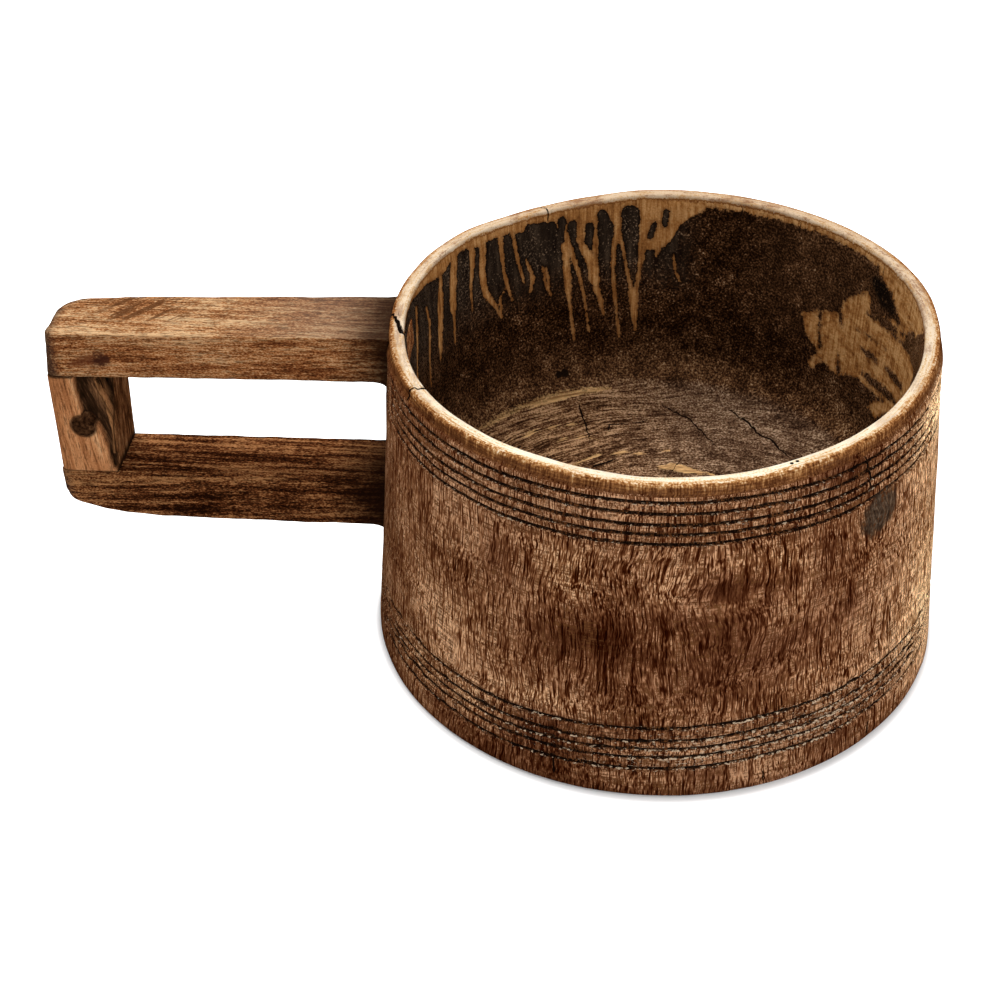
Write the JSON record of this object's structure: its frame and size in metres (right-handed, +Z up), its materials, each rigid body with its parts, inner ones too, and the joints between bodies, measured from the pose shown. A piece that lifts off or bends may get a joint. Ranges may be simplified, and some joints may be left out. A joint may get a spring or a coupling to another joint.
{
  "type": "handled wooden bowl",
  "caption": "Straight-sided turned wooden bowl with grooved bands and a four-sided grip handle of two arms and an end post, for scooping and carrying dry goods.",
  "frame": {"origin": "centre of the bowl's base, on the plane that it rests on", "axes": "+Z up along the bowl's axis, the handle points along -X, +Y to the back"},
  "size_m": [0.3325, 0.2158, 0.131],
  "materials": {
    "bowl_wood": "worn, oiled, dark-coated inside",
    "upper_arm_wood": "hand-polished",
    "lower_arm_wood": "hand-polished",
    "post_wood": "worn",
    "peg_wood": "dark end grain",
    "wedge_wood": "dark"
  },
  "bodies": {
    "root": {"bowl_body": "bowl_wood", "handle_upper_arm": "upper_arm_wood", "handle_lower_arm": "lower_arm_wood", "handle_end_post": "post_wood", "post_peg": "peg_wood", "upper_arm_peg": "peg_wood", "lower_arm_peg": "peg_wood", "upper_tenon_wedge": "wedge_wood"}
  },
  "joints": []
}
